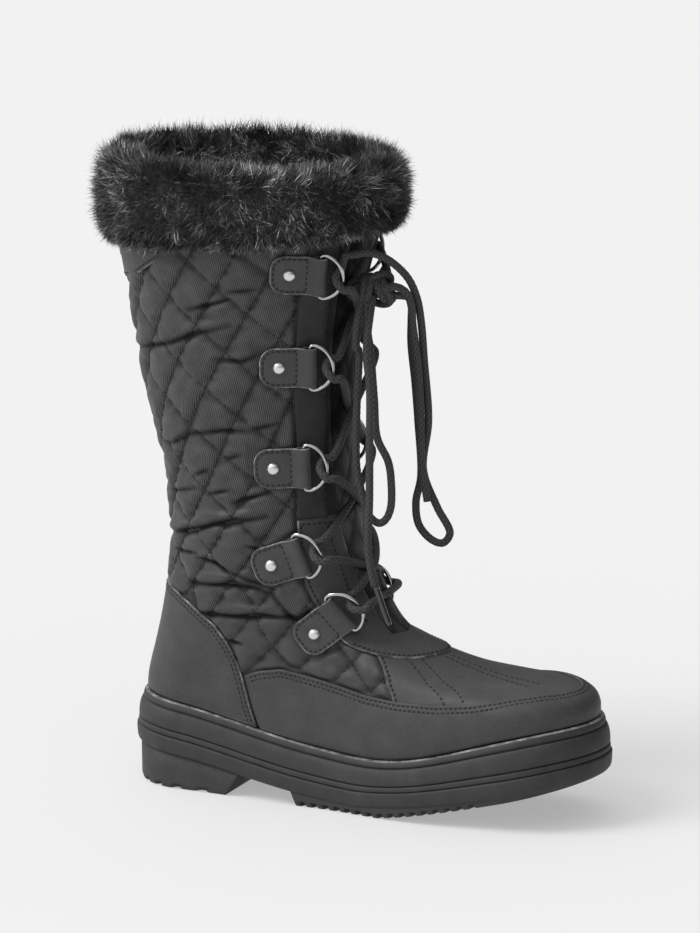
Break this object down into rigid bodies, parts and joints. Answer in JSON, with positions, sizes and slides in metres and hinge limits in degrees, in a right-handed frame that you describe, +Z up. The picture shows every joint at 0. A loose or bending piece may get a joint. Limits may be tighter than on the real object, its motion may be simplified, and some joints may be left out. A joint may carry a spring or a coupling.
{
  "type": "waterproof boot",
  "caption": "Mid-calf right winter boot with quilted shaft, faux-fur cuff, D-ring lacing, smooth leather rand and a ribbed rubber sole with heel.",
  "frame": {"origin": "on the floor under the centre of the heel", "axes": "+X from heel to toe, +Y to the inner side of the foot, +Z up"},
  "size_m": [0.302, 0.1437, 0.3647],
  "materials": {
    "sole_rubber": "matt moulded",
    "felt": "felt",
    "quilted_nylon": "twill with a slight sheen",
    "synthetic_leather": "matt fine grain",
    "fur": "deep pile",
    "lace": "round braid",
    "lace_tip": "moulded",
    "steel": "polished"
  },
  "bodies": {
    "root": {"outsole": "sole_rubber", "insole": "felt", "upper": "quilted_nylon", "tongue": "quilted_nylon", "counter": "synthetic_leather", "mudguard": "synthetic_leather", "throat_patch": "synthetic_leather", "back_patch": "synthetic_leather", "fur_cuff": "fur", "ring_tab_lateral_1": "synthetic_leather", "ring_tab_lateral_2": "synthetic_leather", "ring_tab_lateral_3": "synthetic_leather", "ring_tab_lateral_4": "synthetic_leather", "ring_tab_lateral_5": "synthetic_leather", "ring_tab_medial_1": "synthetic_leather", "ring_tab_medial_2": "synthetic_leather", "ring_tab_medial_3": "synthetic_leather", "ring_tab_medial_4": "synthetic_leather", "ring_tab_medial_5": "synthetic_leather", "d_ring_lateral_1": "steel", "d_ring_lateral_2": "steel", "d_ring_lateral_3": "steel", "d_ring_lateral_4": "steel", "d_ring_lateral_5": "steel", "d_ring_medial_1": "steel", "d_ring_medial_2": "steel", "d_ring_medial_3": "steel", "d_ring_medial_4": "steel", "d_ring_medial_5": "steel", "rivet_lateral_1": "steel", "rivet_lateral_2": "steel", "rivet_lateral_3": "steel", "rivet_lateral_4": "steel", "rivet_lateral_5": "steel", "rivet_medial_1": "steel", "rivet_medial_2": "steel", "rivet_medial_3": "steel", "rivet_medial_4": "steel", "rivet_medial_5": "steel", "lace_strand_lateral": "lace", "lace_strand_medial": "lace", "lace_knot": "lace", "lace_loop_a": "lace", "lace_loop_b": "lace", "lace_end_a": "lace", "lace_end_b": "lace", "aglet_a": "lace_tip"}
  },
  "joints": []
}
